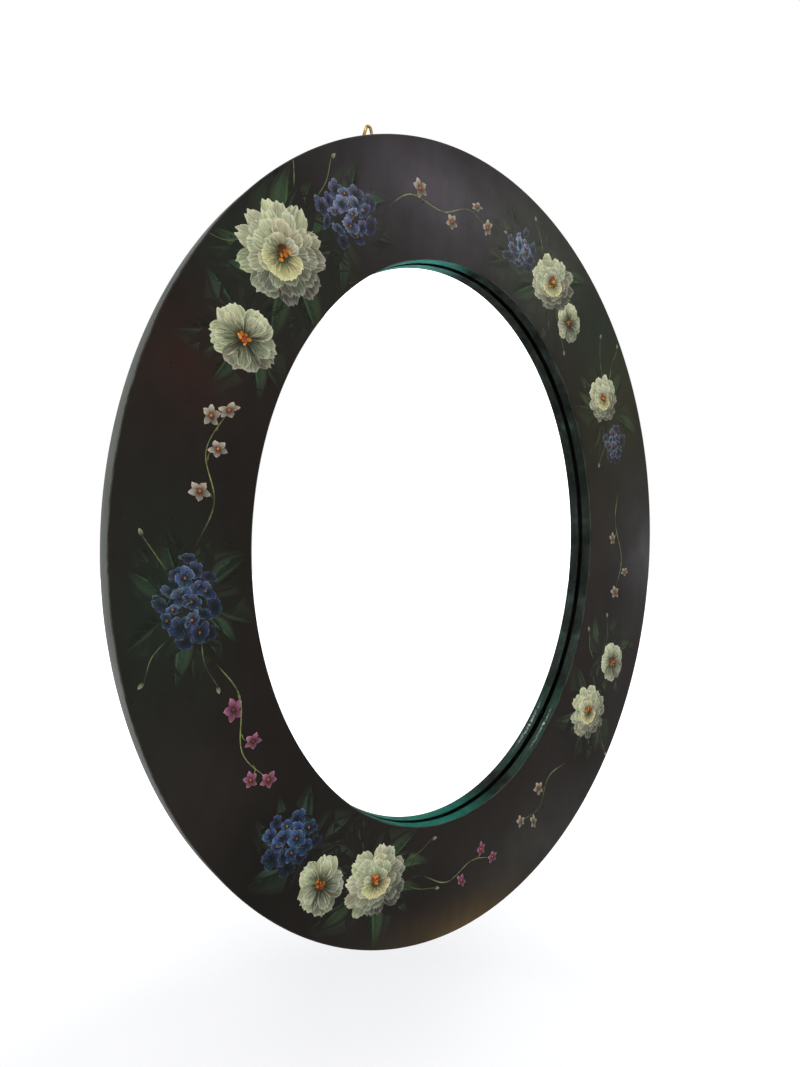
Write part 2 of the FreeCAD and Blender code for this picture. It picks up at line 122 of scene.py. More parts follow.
def finish(tree, inputs, relief=None):
    """Closes a material with its shader, its relief and its output.

    A relief is a height, a strength and a depth in millimetres.
    """
    if relief:
        height, strength, depth = relief
        bump = {"Height": height, "Strength": strength, "Distance": depth * MM}
        inputs["Normal"] = add(tree, "Bump", bump)
    shader = add(tree, "BsdfPrincipled", inputs)
    add(tree, "OutputMaterial", {"Surface": shader})


def patches(tree, place, scale, detail, stops):
    """Soft patches of noise over a place, in the shades of a ramp's stops."""
    noise = add(tree, "TexNoise", {"Vector": place, "Scale": scale, "Detail": detail})
    return add(tree, "ValToRGB", {"Fac": noise}, stops=stops)


def fading(tree, place, middle, reach, falloff="SPHERICAL"):
    """Is 1 at a middle and fades to 0 at a reach from it, across, in depth and up."""
    moved = {"Vector": place, "Location": middle, "Scale": reach}
    moved = add(tree, "Mapping", moved, vector_type="TEXTURE")
    return add(tree, "TexGradient", {"Vector": moved}, gradient_type=falloff).outputs["Fac"]


# Camera: the place, turn and lens that the photograph's outlines give

forward = Vector((0.5878, 0.8090, -0.0094)).normalized()
right = Vector((0.8090, -0.5876, 0.0194))
right = (right - forward * right.dot(forward)).normalized()
up = right.cross(forward)
bpy.ops.object.camera_add()
camera = bpy.context.object
camera.name = "camera"
camera.matrix_world = Matrix((
    (right.x, up.x, -forward.x, -0.3653),
    (right.y, up.y, -forward.y, -0.4536),
    (right.z, up.z, -forward.z, 0.0130),
    (0, 0, 0, 1),
))
camera.data.lens = 24.8
camera.data.clip_start = 0.01
bpy.context.scene.camera = camera


# Light: a plain soft room, white where the camera, the mirror or metal sees it. Gloss
# paint shows the key lamp alone.


def seen_rays(tree):
    """Is 1 where the camera, a mirror or glass looks, and 0 where light is gathered."""
    rays = add(tree, "LightPath").outputs
    seen = add(tree, "Math", {
        0: rays["Is Camera Ray"], 1: rays["Is Glossy Ray"],
    }, operation="MAXIMUM")
    return add(tree, "Math", {0: seen, 1: rays["Is Transmission Ray"]}, operation="MAXIMUM")


bpy.context.scene.view_settings.view_transform = "Standard"
world = bpy.data.worlds.new("soft room")
bpy.context.scene.world = world
world.use_nodes = True
sky = world.node_tree
sky.nodes.clear()
soft = add(sky, "Background", {"Color": "#f4f6fa", "Strength": 0.62})
white = add(sky, "Background", {"Color": "#ffffff"})
both = add(sky, "MixShader", {0: seen_rays(sky), 1: soft, 2: white})
add(sky, "OutputWorld", {"Surface": both})

for name, place, size, power in (
    ("key lamp", (-0.9, -1.4, 1.3), 1.0, 20),
    ("fill lamp", (1.3, -1.1, 0.5), 1.4, 8),
    ("back lamp", (0.4, 1.7, 0.9), 1.6, 12),
):
    deselect()
    bpy.ops.object.light_add(type="AREA", location=place)
    lamp = bpy.context.object
    lamp.name = name
    lamp.data.size = size
    lamp.data.energy = power
    lamp.rotation_euler = (-Vector(place)).to_track_quat("-Z", "Y").to_euler()
    lamp.visible_glossy = name == "key lamp"


# Floor: matt white studio paper, which the camera sees lifted to white further out, so
# that the shadow under the mirror stays. Its cloudy tone is some 300 mm wide.

deselect()
bpy.ops.mesh.primitive_plane_add(size=16, location=(0, 0, -0.62))
floor = bpy.context.object
floor.name = "floor"
matt_floor, tree = begin("matt white studio paper")
place = add(tree, "TexCoord").outputs["Object"]
cloudy = patches(tree, place, 3, 2, ((0.3, "#e9e9e9"), (0.7, "#eeeeee")))
away = add(tree, "VectorMath", {0: place}, operation="LENGTH")
far = add(tree, "MapRange", {"Value": away, "From Min": 0.5, "From Max": 2.0, "To Min": 0.2})
finish(tree, {
    "Base Color": cloudy,
    "Roughness": 1.0,
    "Specular IOR Level": 0.0,
    "Emission Color": "#ffffff",
    "Emission Strength": add(tree, "Math", {0: seen_rays(tree), 1: far}, operation="MULTIPLY"),
})
floor.data.materials.append(matt_floor)


# Materials of the frame

# The dark lacquer ground of the face: umber, brushed on in big soft clouds that turn
# olive, ochre and red brown in places, under 8 mm ripples, with a painted sheen of room
# light in the varnish, purple grey at the top and grey at the top right and at the right.
# One group, so that the flowers fade into it. Clouds are 60 to 150 mm, brush drag about 3 mm.
tree = ground_group = bpy.data.node_groups.new("lacquer ground", "ShaderNodeTree")
for name, kind in (("Colour", "NodeSocketColor"), ("Ripple", "NodeSocketFloat")):
    tree.interface.new_socket(name, in_out="OUTPUT", socket_type=kind)
place = add(tree, "TexCoord").outputs["Object"]
clouds = add(tree, "TexNoise", {"Vector": place, "Scale": 9, "Detail": 3})
colour = add(tree, "ValToRGB", {"Fac": clouds}, stops=(
    (0.35, "#1a1512"), (0.52, "#1e1a17"), (0.68, "#24201c"),
))
broken = add(tree, "TexNoise", {"Vector": place, "Scale": 22, "Detail": 4})
# Each cloud's middle, its reach across and up, its colour and its strength. The first,
# second and fourth are painted sheen, not paint.
for (x, z), (wide, tall), code, strength in (
    ((-0.01, 0.265), (0.20, 0.11), "#474347", 1.0),
    ((0.10, 0.235), (0.14, 0.12), "#3b3d35", 1.0),
    ((0.20, 0.14), (0.12, 0.17), "#2a291a", 1.2),
    ((0.245, 0.00), (0.07, 0.12), "#403e3f", 1.0),
    ((0.16, -0.17), (0.07, 0.11), "#130d09", 1.3),
    ((0.12, -0.26), (0.16, 0.08), "#35332f", 1.0),
    ((0.04, -0.315), (0.16, 0.055), "#5c4c30", 0.9),
    ((-0.22, -0.04), (0.07, 0.15), "#1d231b", 1.2),
    ((-0.15, 0.19), (0.10, 0.09), "#20271f", 1.0),
    ((-0.21, 0.11), (0.06, 0.08), "#2b1b16", 0.8),
    ((-0.13, -0.21), (0.13, 0.10), "#12100c", 1.3),
    ((0.17, 0.20), (0.08, 0.08), "#202a20", 0.9),
):
    near = fading(tree, place, (x, FACE_Y, z), (wide, 1.0, tall), "QUADRATIC_SPHERE")
    drift = add(tree, "Math", {0: broken, 1: 2.0 * strength}, operation="MULTIPLY")
    mask = add(tree, "Math", {0: near, 1: drift}, operation="MULTIPLY", use_clamp=True)
    colour = add(tree, "Mix", {"Factor": mask, 6: colour, 7: code})
stretched = add(tree, "Mapping", {
    "Vector": place, "Scale": (110.0, 110.0, 38.0), "Rotation": (0.0, 0.5, 0.0),
})
drag = patches(tree, stretched, 1, 2, ((0.3, 0.93), (0.7, 1.07)))
colour = add(tree, "Mix", {"Factor": 1.0, 6: colour, 7: drag}, blend_type="MULTIPLY")
ripple = add(tree, "TexNoise", {"Vector": place, "Scale": 120, "Detail": 4})
add(tree, "NodeGroupOutput", {0: colour, 1: ripple})


def specked(tree, colour):
    """Fly specks of about 1 mm over a painted surface, some 30 mm apart."""
    place = add(tree, "TexCoord").outputs["Object"]
    cells = add(tree, "TexVoronoi", {"Vector": place, "Scale": 105})
    specks = add(tree, "ValToRGB", {"Fac": cells}, stops=((0.05, 0.9), (0.065, 0)))
    return add(tree, "Mix", {"Factor": specks, 6: colour, 7: "#0c0a08"})


def varnish(tree, colour, height, shine=0.06):
    """Closes a paint as satin varnish, alike on the face and on what fades into it."""
    finish(tree, {
        "Base Color": colour, "Roughness": 0.42, "Specular IOR Level": shine,
    }, (height, 0.15, 0.4))


# Painted and varnished face: satin over the dark ground, with a worn pale line 0.6 mm
# wide where the two rims have been rubbed, dull at the inner one.
face_paint, tree = begin("varnished umber face paint")
place = add(tree, "TexCoord").outputs["Object"]
inset = add(tree, "Attribute", attribute_name="inset").outputs["Fac"]
inner_rim = add(tree, "MapRange", {
    "Value": inset, "From Min": 0.0878, "From Max": 0.0884, "To Max": 0.6,
})
outer_rim = add(tree, "MapRange", {
    "Value": inset, "From Min": 0.0009, "From Max": 0.0003, "To Max": 0.8,
})
rims = add(tree, "Math", {0: inner_rim, 1: outer_rim}, operation="MAXIMUM")
patchy = patches(tree, place, 60, 3, ((0.38, 0.1), (0.6, 0.9)))
worn = add(tree, "Math", {0: rims, 1: patchy}, operation="MULTIPLY")
ground = add(tree, "Group", node_tree=ground_group)
colour = add(tree, "Mix", {"Factor": worn, 6: ground, 7: "#5d5a52"})
dull_rim = add(tree, "MapRange", {
    "Value": inset, "From Min": 0.0874, "From Max": 0.088, "To Min": 0.06, "To Max": 0.0,
})
varnish(tree, specked(tree, colour), ground.outputs["Ripple"], dull_rim)

# Old gloss paint inside the opening, in runs of about 20 mm: teal at the bottom and grey
# green at the lower right, with painted light that makes it bright teal at the upper left and
# painted shade that makes it green black elsewhere. Its rim is painted pale as a highlight
# where the eased edge catches the light, and the last quarter millimetre over the glass is
# painted black as shade. The paint is dulled, but for a grainy strip 60 mm long at the lower
# right that has kept its gloss.
opening_paint, tree = begin("teal gloss paint of the opening")
place = add(tree, "TexCoord").outputs["Object"]
depth = add(tree, "Attribute", attribute_name="depth").outputs["Fac"]
# The green black base is painted shade over the teal paint.
runs = add(tree, "TexNoise", {"Vector": place, "Scale": 48, "Detail": 4})
colour = add(tree, "ValToRGB", {"Fac": runs}, stops=((0.35, "#222823"), (0.65, "#373e38")))
# Teal patches: bright at the upper left, painted light where the wall catches it, plainer teal
# at the bottom, and grey green at the lower right.
for x, z, reach, code in (
    (-0.052, 0.200, 0.085, "#55a79a"),
    (-0.030, -0.205, 0.1, "#256f60"),
    (0.110, -0.161, 0.06, "#2f463c"),
):
    near = fading(tree, place, (x, -0.012, z), (reach, reach, reach))
    near = add(tree, "Math", {0: runs, 1: 0.5, 2: near}, operation="MULTIPLY_ADD")
    kept = add(tree, "MapRange", {"Value": near, "From Min": 0.3, "From Max": 0.75})
    colour = add(tree, "Mix", {"Factor": kept, 6: colour, 7: code})
streaky = patches(tree, place, 160, 4, ((0.35, 0.78), (0.65, 1.15)))
colour = add(tree, "Mix", {"Factor": 1.0, 6: colour, 7: streaky}, blend_type="MULTIPLY")
# Painted highlight: the rim, where the eased edge catches the light, is painted pale.
rim_highlight = add(tree, "MapRange", {
    "Value": depth, "From Min": 0.0155, "From Max": 0.0163, "To Max": 0.35,
})
colour = add(tree, "Mix", {"Factor": rim_highlight, 6: colour, 7: "#53554f"})
wet = fading(tree, place, (0.11, -0.0124, -0.161), (0.036, 0.0024, 0.036))
wet = add(tree, "MapRange", {"Value": wet, "From Max": 0.85})
grainy = patches(tree, place, 420, 3, ((0.42, 0.1), (0.62, 1)))
glints = add(tree, "Math", {0: wet, 1: grainy}, operation="MULTIPLY")
# Painted shade: the last quarter millimetre over the glass is black, with a wavy edge.
wavy = add(tree, "Math", {0: runs, 1: -0.0005, 2: depth}, operation="MULTIPLY_ADD")
black = add(tree, "MapRange", {"Value": wavy, "From Min": 0.00755, "From Max": 0.00743})
colour = add(tree, "Mix", {"Factor": black, 6: colour, 7: "#050605"})
dull_rim = add(tree, "MapRange", {
    "Value": depth, "From Min": 0.0145, "From Max": 0.0155, "To Min": 0.03, "To Max": 0.0,
})
finish(tree, {
    "Base Color": colour,
    "Roughness": add(tree, "MapRange", {"Value": glints, "To Min": 0.65, "To Max": 0.15}),
    "Specular IOR Level": add(tree, "Math", {0: glints, 1: dull_rim}, operation="ADD"),
}, (runs, 0.1, 0.6))

# Thin grey green paint on the outside edge, brushed along it, with the wood's grain and
# scratches about 0.5 mm wide showing through. The face's dark paint laps about 1 mm over
# it and ends there in 3 mm nicks.
edge_paint, tree = begin("grey green edge paint")
place = add(tree, "TexCoord").outputs["Object"]
along = add(tree, "UVMap", uv_map="ring")
streaks = add(tree, "Mapping", {"Vector": along, "Scale": (30.0, 1400.0, 1.0)})
streaks = add(tree, "TexNoise", {"Vector": streaks, "Scale": 1, "Detail": 5})
colour = add(tree, "ValToRGB", {"Fac": streaks}, stops=(
    (0.3, "#454943"), (0.5, "#585c55"), (0.72, "#70746c"),
))
dirty = patches(tree, place, 16, 3, ((0.4, 0), (0.7, 0.7)))
colour = add(tree, "Mix", {"Factor": dirty, 6: colour, 7: "#41453f"})
depth = add(tree, "Attribute", attribute_name="depth").outputs["Fac"]
nicks = add(tree, "TexNoise", {"Vector": place, "Scale": 330, "Detail": 3})
ragged = add(tree, "Math", {0: nicks, 1: 0.005, 2: depth}, operation="MULTIPLY_ADD")
rim = add(tree, "MapRange", {"Value": ragged, "From Min": 0.0184, "From Max": 0.0188})
finish(tree, {
    "Base Color": add(tree, "Mix", {"Factor": rim, 6: colour, 7: "#2c2b29"}),
    "Roughness": 0.55,
    "Specular IOR Level": 0.1,
}, (streaks, 0.3, 0.4))

# Thin black wash in the rabbet and on the back of the lip, matt, with bare patches.
wash, tree = begin("black wash in the rabbet")
place = add(tree, "TexCoord").outputs["Object"]
thin = patches(tree, place, 70, 4, ((0.4, "#0d0e0d"), (0.75, "#1b1c1a"), (0.9, "#3a3228")))
rough = add(tree, "TexNoise", {"Vector": place, "Scale": 300, "Detail": 3})
finish(tree, {"Base Color": thin, "Roughness": 0.8}, (rough, 0.3, 0.4))


def bare_wood(name, turn):
    """Planed pine, bare, with growth lines 4 to 9 mm apart that run along one segment.

    Fibres are drawn 1 mm wide, coarser than real ones, so that they show. Dark paint has
    run 4 to 8 mm over the outside.
    """
    made, tree = begin(name)
    place = add(tree, "TexCoord").outputs["Object"]
    turned = add(tree, "Mapping", {"Vector": place, "Rotation": (0.0, turn, 0.0)})
    drawn = add(tree, "Mapping", {"Vector": turned, "Scale": (0.14, 1.0, 1.0)})
    bent = add(tree, "TexNoise", {"Vector": drawn, "Scale": 16})
    wavy = add(tree, "VectorMath", {
        0: bent.outputs["Color"], 1: (0.0, 0.0, 0.07), 2: drawn,
    }, operation="MULTIPLY_ADD")
    rings = add(
        tree,
        "TexWave",
        {"Vector": wavy, "Scale": 50, "Distortion": 1.2, "Detail": 3, "Detail Scale": 2.0},
        bands_direction="Z",
        wave_profile="SAW",
    ).outputs["Fac"]
    colour = add(tree, "ValToRGB", {"Fac": rings}, stops=(
        (0.0, "#ad8a5b"), (0.6, "#a37f4e"), (0.92, "#8a673c"), (1.0, "#a5824f"),
    ))
    fibre = add(tree, "Mapping", {"Vector": turned, "Scale": (30.0, 800.0, 800.0)})
    fibre = add(tree, "TexNoise", {"Vector": fibre, "Scale": 1, "Detail": 4})
    shade = add(tree, "ValToRGB", {"Fac": fibre}, stops=((0.3, 0.8), (0.7, 1.07)))
    colour = add(tree, "Mix", {"Factor": 1.0, 6: colour, 7: shade}, blend_type="MULTIPLY")
    dirt = patches(tree, place, 7, 3, ((0.42, 0), (0.75, 0.55)))
    colour = add(tree, "Mix", {"Factor": dirt, 6: colour, 7: "#5e4630"})
    inset = add(tree, "Attribute", attribute_name="inset").outputs["Fac"]
    edge = add(tree, "TexNoise", {"Vector": place, "Scale": 55, "Detail": 5, "Roughness": 0.6})
    ragged = add(tree, "Math", {0: edge, 1: -0.016, 2: inset}, operation="MULTIPLY_ADD")
    spill = add(tree, "MapRange", {"Value": ragged, "From Min": -0.0035, "From Max": -0.006})
    finish(tree, {
        "Base Color": add(tree, "Mix", {"Factor": spill, 6: colour, 7: "#3a403c"}),
        "Roughness": 0.75,
        "Specular IOR Level": 0.25,
    }, (fibre, 0.35, 0.5))
    return made


# Frame: one ring is drawn round, then sawn in its four segments

QUARTER = math.pi / 2
# Radius of the outer and of the inner rim, in mm
EASE = 1.0
INNER_EASE = 0.5
FACE_EDGE = [
    (EASE - EASE * math.cos(QUARTER * i / 4), THICK - EASE + EASE * math.sin(QUARTER * i / 4))
    for i in range(5)
]
OPENING_EDGE = [(
    RING - INNER_EASE + INNER_EASE * math.sin(QUARTER * i / 3),
    THICK - INNER_EASE + INNER_EASE * math.cos(QUARTER * i / 3),
) for i in range(4)]
# Inset from the outside and height over the back, in millimetres, once round the section
SECTION = (
    [(0.6, 0.0), (0.2, 0.2), (0.0, 0.6), (0.0, 8.0)]
    + FACE_EDGE
    + [(inset, THICK) for inset in (3.0, 30.0, 60.0, 86.0)]
    + OPENING_EDGE
    + [(RING, 12.0), (RING, LIP), (RABBET, LIP), (RABBET, 3.5), (RABBET, 0.0), (40.0, 0.0)]
)
# The five finishes, in the order that a segment holds them
FACE, OPENING, EDGE, WASH, BARE = range(5)
MEAN_REACH = 0.28  # turns an angle round the ring to a length along it
CORNERS_ROUND = 960


def semi_axes(inset):
    """The two half lengths of the oval at an inset in millimetres."""
    return HALF_WIDTH - inset * MM, HALF_HEIGHT - inset * MM


deselect()
bpy.ops.mesh.primitive_circle_add(vertices=CORNERS_ROUND, rotation=(math.pi / 2, 0, 0))
ring = bpy.context.object
ring.name = "ring"
bpy.ops.object.transform_apply(location=False, rotation=True, scale=False)
bpy.ops.object.mode_set(mode="EDIT")
bpy.ops.mesh.select_all(action="SELECT")
wide, tall = semi_axes(SECTION[0][0])
bpy.ops.transform.resize(value=(wide, 1, tall), center_override=(0, 0, 0))
for before, after in zip(SECTION, SECTION[1:] + SECTION[:1]):
    bpy.ops.mesh.extrude_region_move(
        TRANSFORM_OT_translate={"value": (0, (before[1] - after[1]) * MM, 0)}
    )
    (wide, tall), (wider, taller) = semi_axes(before[0]), semi_axes(after[0])
    bpy.ops.transform.resize(value=(wider / wide, 1, taller / tall), center_override=(0, 0, 0))
bpy.ops.mesh.select_all(action="SELECT")
bpy.ops.mesh.remove_doubles(threshold=0.000002)
bpy.ops.mesh.normals_make_consistent(inside=False)
bpy.ops.object.mode_set(mode="OBJECT")


def note(data, name, values):
    """Writes a named value on every corner of a mesh, for its paint to read."""
    layer = data.attributes.new(name, "FLOAT", "POINT")
    values = np.ones(len(data.vertices)) * values
    layer.data.foreach_set("value", values.astype(np.float32))


def lay_finishes(segment, bare, middle):
    """Gives a sawn segment its finishes by face, and the lengths that they read."""
    data = segment.data
    for coat in (face_paint, opening_paint, edge_paint, wash, bare):
        data.materials.append(coat)
    count = len(data.vertices)
    flat = np.zeros(count * 3, np.float32)
    data.vertices.foreach_get("co", flat)
    x, y, z = flat.reshape(-1, 3).astype(float).T
    # How far each corner lies inside the outer oval, nearer with every step
    inset = np.zeros(count)
    for _ in range(30):
        wide, tall = HALF_WIDTH - inset, HALF_HEIGHT - inset
        reach = np.hypot(x / wide, z / tall)
        inset += (1 - reach) * wide * tall / np.hypot(tall * x / wide, wide * z / tall) * reach
    angle = np.arctan2(z / (HALF_HEIGHT - inset), x / (HALF_WIDTH - inset))
    angle = (angle - middle + math.pi) % (2 * math.pi) - math.pi
    note(data, "inset", inset)
    note(data, "depth", -y)
    corners = np.zeros(len(data.loops), np.int32)
    data.loops.foreach_get("vertex_index", corners)
    mapped = np.stack([angle * MEAN_REACH, inset - y], axis=1)[corners]
    sheet = data.uv_layers.new(name="ring")
    sheet.data.foreach_set("uv", mapped.astype(np.float32).ravel())
    for face in data.polygons:
        place_in = float(np.mean([inset[v] for v in face.vertices])) / MM
        height = -face.center.y / MM
        facing = face.normal.dot(Vector((face.center.x, 0, face.center.z)).normalized())
        coat = BARE
        if face.normal.y < -0.5 and height > THICK - EASE:
            coat = FACE
        elif place_in > RING - 0.4 and height > LIP:
            coat = OPENING
        elif place_in < EASE and facing > 0.3:
            coat = EDGE
        elif place_in > RABBET - 0.4 and abs(facing) > 0.3:
            coat = WASH
        elif face.normal.y > 0.5 and height > 0.5:
            coat = WASH
        face.material_index = coat


for side, apex, ways, middle in (
    ("top", (0, 0, PARTING), ((-1, 0, 1), (1, 0, 1)), 90),
    ("right", (-PARTING, 0, 0), ((1, 0, -1), (1, 0, 1)), 0),
    ("bottom", (0, 0, -PARTING), ((-1, 0, -1), (1, 0, -1)), 270),
    ("left", (PARTING, 0, 0), ((-1, 0, -1), (-1, 0, 1)), 180),
):
    segment = ring.copy()
    segment.data = ring.data.copy()
    segment.name = "painted_frame_" + side
    bpy.context.collection.objects.link(segment)
    hold(segment)
    bpy.ops.object.mode_set(mode="EDIT")
    for way in ways:
        bpy.ops.mesh.select_all(action="SELECT")
        bpy.ops.mesh.bisect(plane_co=apex, plane_no=way, use_fill=True, clear_inner=True)
    bpy.ops.object.mode_set(mode="OBJECT")
    bare = bare_wood(f"bare pine of the {side} segment", math.radians(middle + 90))
    lay_finishes(segment, bare, math.radians(middle))
    bpy.ops.object.shade_smooth_by_angle(angle=math.radians(28))
    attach(segment, MIRROR_BODY)
    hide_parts("frame_" + side)
bpy.data.objects.remove(ring)


# Materials of what the frame holds, on the CAD's own nodes


def dress(node, material):
    """Gives a CAD node its material."""
    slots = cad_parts[node].data.materials
    slots.clear()
    slots.append(material)


# Clear float glass, smooth. It only lets through and bends: the photograph shows no
# second, fainter image of the wall from its front.
glass, tree = begin("clear float glass")
bent = add(tree, "BsdfRefraction", {"Color": "#ffffff", "Roughness": 0.0, "IOR": 1.52})
add(tree, "OutputMaterial", {"Surface": bent})
dress("mirror_glass", glass)

# Silver on the glass: a smooth bright metal, so that the mirror reads as what it reflects.
silver, tree = begin("mirror silver")
finish(tree, {"Base Color": "#ffffff", "Metallic": 1.0, "Roughness": 0.0})
dress("silver_coat", silver)

# Grey board between silver and back: pulp flecks of about 1 mm.
card, tree = begin("grey pulp card")
place = add(tree, "TexCoord").outputs["Object"]
flecks = patches(tree, place, 700, 3, ((0.3, "#77705f"), (0.7, "#948b78")))
finish(tree, {"Base Color": flecks, "Roughness": 0.9})
dress("backing_card", card)

# Pressed hardboard, rough side out: a brown felt of fibres with the 2 mm screen mesh
# that it was pressed on, and age stains.
board, tree = begin("pressed hardboard")
place = add(tree, "TexCoord").outputs["Object"]
fibres = add(tree, "TexNoise", {"Vector": place, "Scale": 420, "Detail": 6, "Roughness": 0.7})
colour = add(tree, "ValToRGB", {"Fac": fibres}, stops=(
    (0.28, "#4a3220"), (0.5, "#6b4a30"), (0.75, "#8a6645"),
))
stains = patches(tree, place, 8, 4, ((0.4, 0), (0.75, 0.5)))
mesh = {"Vector": place, "Scale": 157, "Distortion": 1.0}
across = add(tree, "TexWave", mesh, bands_direction="X").outputs["Fac"]
upright = add(tree, "TexWave", mesh, bands_direction="Z").outputs["Fac"]
relief = add(tree, "Math", {0: across, 1: upright, 2: fibres}, operation="MULTIPLY_ADD")
finish(tree, {
    "Base Color": add(tree, "Mix", {"Factor": stains, 6: colour, 7: "#4b3625"}),
    "Roughness": 0.85,
}, (relief, 0.5, 0.4))
dress("backing_board", board)

# Metals of the small parts: zinc on pressed steel, cool grey with 3 mm spangle and dull
# finger marks, and rolled brass, its lacquer gone, mottled in 6 mm patches from dark brown to
# pale: brown tarnish, with painted glints in the pale and painted dark reflections in the
# brown.
zinc, tree = begin("zinc plated steel")
place = add(tree, "TexCoord").outputs["Object"]
spangle = add(tree, "TexVoronoi", {"Vector": place, "Scale": 330})
colour = add(tree, "ValToRGB", {"Fac": spangle.outputs["Color"]}, stops=(
    (0.25, "#7f8387"), (0.75, "#9a9da1"),
))
marks = patches(tree, place, 160, 4, ((0.45, 0), (0.7, 0.7)))
dull = patches(tree, place, 150, 3, ((0.3, 0.28), (0.7, 0.5)))
fine = add(tree, "TexNoise", {"Vector": place, "Scale": 900, "Detail": 3})
finish(tree, {
    "Base Color": add(tree, "Mix", {"Factor": marks, 6: colour, 7: "#5e5b54"}),
    "Metallic": 1.0,
    "Roughness": dull,
}, (fine, 0.15, 0.1))
brass, tree = begin("tarnished brass with painted glints")
place = add(tree, "TexCoord").outputs["Object"]
# The pale stops stand for painted glints, the dark brown partly for painted dark reflections.
tarnish_and_glints = patches(tree, place, 160, 5, ((0.36, "#4a3a12"), (0.5, "#94782f"), (0.66, "#dcc77c")))
dull = patches(tree, place, 260, 3, ((0.3, 0.25), (0.7, 0.5)))
fine = add(tree, "TexNoise", {"Vector": place, "Scale": 1200, "Detail": 3})
finish(tree, {"Base Color": tarnish_and_glints, "Metallic": 1.0, "Roughness": dull}, (fine, 0.1, 0.05))

dress("joint_splines", bpy.data.materials["bare pine of the top segment"])
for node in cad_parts:
    if node.startswith("turn_button"):
        dress(node, zinc)
    elif node.startswith("hanger"):
        dress(node, brass)


# Flower painting: oil colour laid in single brush strokes on the dark ground. A few
# strokes are modelled from a grid, and every petal and leaf is a copy.


def brushed(name, colour_over):
    """Oil colour brushed in one stroke, which reads the stroke's tone, cover and seed.

    Bristle streaks run along the stroke, about 1 mm apart on a 12 mm petal. Where the
    cover is thin, and at the stroke's root, the ground shows through. It shines as the
    face does, so that no edge is left where it fades.
    """
    made, tree = begin(name)
    spread = add(tree, "SeparateXYZ", {"Vector": add(tree, "UVMap", uv_map="UVMap")})
    across, along = spread.outputs["X"], spread.outputs["Y"]
    tone = add(tree, "Attribute", attribute_name="tone")
    cover = add(tree, "Attribute", attribute_name="cover").outputs["Fac"]
    seed = add(tree, "Attribute", attribute_name="seed").outputs["Fac"]
    bristles = add(tree, "CombineXYZ", {"X": across, "Y": along, "Z": seed})
    bristles = add(tree, "Mapping", {"Vector": bristles, "Scale": (12.0, 1.5, 37.0)})
    streak = add(tree, "TexNoise", {
        "Vector": bristles, "Scale": 1, "Detail": 3, "Roughness": 0.65,
    })
    pushed = add(tree, "Math", {0: streak, 1: 0.5, 2: -0.25}, operation="MULTIPLY_ADD")
    reach = add(tree, "Math", {0: along, 1: pushed}, operation="ADD")
    off = add(tree, "Math", {0: across, 1: 0.5}, operation="SUBTRACT")
    off = add(tree, "Math", {0: off}, operation="ABSOLUTE")
    side = add(tree, "Math", {0: pushed, 1: 0.4, 2: off}, operation="MULTIPLY_ADD")
    colour, kept = colour_over(tree, tone, across, along, streak, reach, off, side)
    thin = add(tree, "ValToRGB", {"Fac": reach}, stops=((0.0, 0.2), (0.35, 1)))
    laid = add(tree, "Math", {0: cover, 1: thin}, operation="MULTIPLY")
    laid = add(tree, "Math", {0: laid, 1: kept}, operation="MULTIPLY", use_clamp=True)
    ground = add(tree, "Group", node_tree=ground_group)
    colour = add(tree, "Mix", {"Factor": laid, 6: ground, 7: colour})
    relief = add(tree, "Math", {0: streak, 1: laid}, operation="MULTIPLY")
    relief = add(tree, "Math", {
        0: relief, 1: 2.0, 2: ground.outputs["Ripple"],
    }, operation="MULTIPLY_ADD")
    varnish(tree, specked(tree, colour), relief)
    return made


def petal_colour(tree, tone, across, along, streak, reach, off, side):
    """Pale colour pushed to the rim, darker and thinner towards the root."""
    dark = add(tree, "Mix", {"Factor": 1.0, 6: tone, 7: "#6f7164"}, blend_type="MULTIPLY")
    pale = add(tree, "Mix", {"Factor": 0.32, 6: tone, 7: "#e6e4cd"})
    full = add(tree, "ValToRGB", {"Fac": reach}, stops=((0.18, 0), (0.6, 0.6), (0.98, 1)))
    colour = add(tree, "Mix", {"Factor": full, 6: dark, 7: tone})
    lines = add(tree, "ValToRGB", {"Fac": streak}, stops=((0.32, 0.66), (0.62, 1.12)))
    colour = add(tree, "Mix", {"Factor": 1.0, 6: colour, 7: lines}, blend_type="MULTIPLY")
    tip = add(tree, "ValToRGB", {"Fac": reach}, stops=((0.82, 0), (1.02, 0.7)))
    end = add(tree, "ValToRGB", {"Fac": along}, stops=((0.93, 0), (0.98, 1)))
    sides = add(tree, "ValToRGB", {"Fac": side}, stops=((0.44, 0), (0.49, 0.8)))
    rim = add(tree, "Math", {0: end, 1: sides}, operation="MAXIMUM")
    broken_rim = add(tree, "ValToRGB", {"Fac": streak}, stops=((0.4, 0), (0.6, 0.8)))
    rim = add(tree, "Math", {0: rim, 1: broken_rim}, operation="MULTIPLY")
    rim = add(tree, "Math", {0: rim, 1: tip}, operation="MAXIMUM")
    lit = add(tree, "MapRange", {
        "Value": tone, "From Min": 0.02, "From Max": 0.16, "To Min": 0.3,
    })
    rim = add(tree, "Math", {0: rim, 1: lit}, operation="MULTIPLY")
    colour = add(tree, "Mix", {"Factor": rim, 6: colour, 7: pale})
    return colour, 1.0


